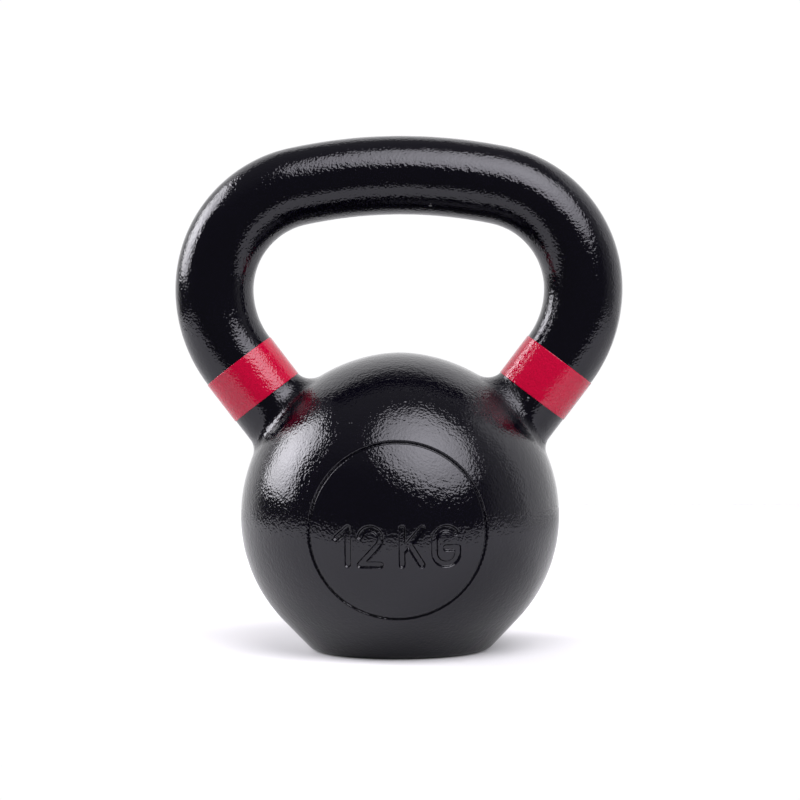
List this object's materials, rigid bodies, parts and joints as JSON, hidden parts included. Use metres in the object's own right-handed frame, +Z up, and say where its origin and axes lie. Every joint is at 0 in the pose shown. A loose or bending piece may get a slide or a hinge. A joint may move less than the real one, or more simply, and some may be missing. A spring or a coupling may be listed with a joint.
{
  "type": "kettlebell",
  "caption": "Cast iron kettlebell with a flat foot, a looped bar handle and a colour band on each horn, to be swung or lifted by hand.",
  "frame": {"origin": "centre of the flat foot", "axes": "+Z up, X along the grip, -Y out of the marked face of the ball"},
  "size_m": [0.1942, 0.1384, 0.2231],
  "materials": {
    "black_enamel_iron": "gloss",
    "red_enamel": "gloss"
  },
  "bodies": {
    "root": {"iron_casting": "black_enamel_iron", "left_colour_band": "red_enamel", "right_colour_band": "red_enamel"}
  },
  "joints": []
}
